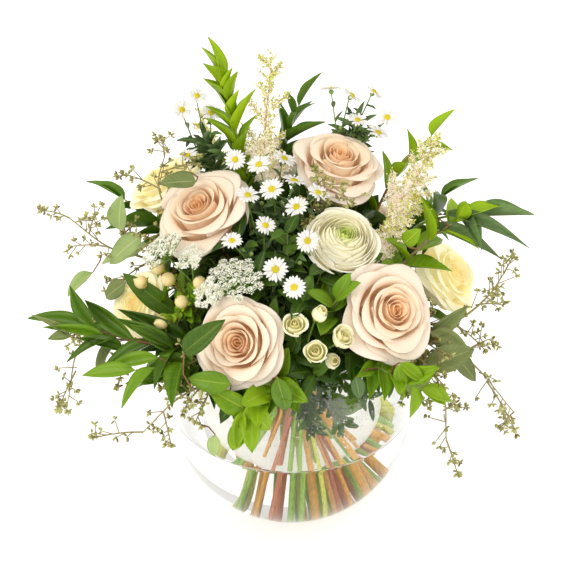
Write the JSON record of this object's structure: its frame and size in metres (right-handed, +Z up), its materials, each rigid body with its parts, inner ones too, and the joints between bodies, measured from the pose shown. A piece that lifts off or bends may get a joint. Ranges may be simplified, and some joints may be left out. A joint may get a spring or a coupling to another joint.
{
  "type": "floral table centerpiece",
  "caption": "Round arrangement of blush and cream roses, daisies, plumes, berries, seeded eucalyptus and leafy greens standing in a clear glass bubble bowl of water.",
  "frame": {"origin": "centre of the bowl's flat base, on the surface it stands on", "axes": "+Z up along the bowl's axis; the side that the picture shows faces -Y, +X to its right"},
  "size_m": [0.3889, 0.3033, 0.3915],
  "materials": {
    "glass_clear": "clear, polished, colourless",
    "water": "clear water, still surface",
    "petal_blush": "soft matt petals, pale blush with a warmer heart",
    "petal_cream": "soft matt petals, cream",
    "petal_ivory": "soft matt petals, ivory",
    "petal_white": "matt white rays",
    "lace_white": "matt florets, greenish white",
    "plume_cream": "feathery, cream with lime tips",
    "berry_cream": "smooth berries, cream-peach, soft sheen",
    "stem_green": "cut stems, green to red-brown, satin",
    "leaf_green": "dark green leaves, slight sheen",
    "leaf_bright": "fresh green leaves, slight sheen",
    "eucalyptus": "grey-green leaves and olive seed buds on brown twigs"
  },
  "bodies": {
    "root": {"astilbe_back": "plume_cream", "astilbe_right_high": "plume_cream", "astilbe_right_low": "plume_cream", "astilbe_top": "plume_cream", "bowl": "glass_clear", "daisies_back": "petal_white", "daisies_low": "petal_white", "daisies_middle": "petal_white", "daisies_upper_left": "petal_white", "daisies_upper_right": "petal_white", "eucalyptus_back": "eucalyptus", "eucalyptus_front_left": "eucalyptus", "eucalyptus_left": "eucalyptus", "eucalyptus_left_low": "eucalyptus", "eucalyptus_middle": "eucalyptus", "eucalyptus_right_droop": "eucalyptus", "eucalyptus_right_low": "eucalyptus", "eucalyptus_right_side": "eucalyptus", "eucalyptus_upper_left": "eucalyptus", "greens_back_left": "leaf_green", "greens_back_right": "leaf_green", "greens_front": "leaf_bright", "greens_front_right": "leaf_bright", "greens_middle": "leaf_green", "greens_right": "leaf_green", "greens_right_long": "leaf_green", "greens_right_top": "leaf_bright", "greens_top": "leaf_green", "greens_top_left": "leaf_bright", "hypericum": "berry_cream", "lace_left": "lace_white", "lace_middle": "lace_white", "ranunculus_back": "stem_green", "ranunculus_back_bloom": "petal_ivory", "ranunculus_front": "stem_green", "ranunculus_front_bloom": "petal_ivory", "rose_back_left": "stem_green", "rose_back_left_bloom": "petal_blush", "rose_back_right": "stem_green", "rose_back_right_bloom": "petal_blush", "rose_left_behind": "stem_green", "rose_left_behind_bloom": "petal_cream", "rose_left_side": "stem_green", "rose_left_side_bloom": "petal_cream", "rose_lower_front": "stem_green", "rose_lower_front_bloom": "petal_blush", "rose_right_front": "stem_green", "rose_right_front_bloom": "petal_blush", "rose_right_side": "stem_green", "rose_right_side_bloom": "petal_cream", "rose_top": "stem_green", "rose_top_bloom": "petal_blush", "rose_upper_left": "stem_green", "rose_upper_left_bloom": "petal_blush", "spray_roses": "petal_cream", "water": "water", "willow_left": "leaf_green", "willow_low_left": "leaf_green"}
  },
  "joints": []
}
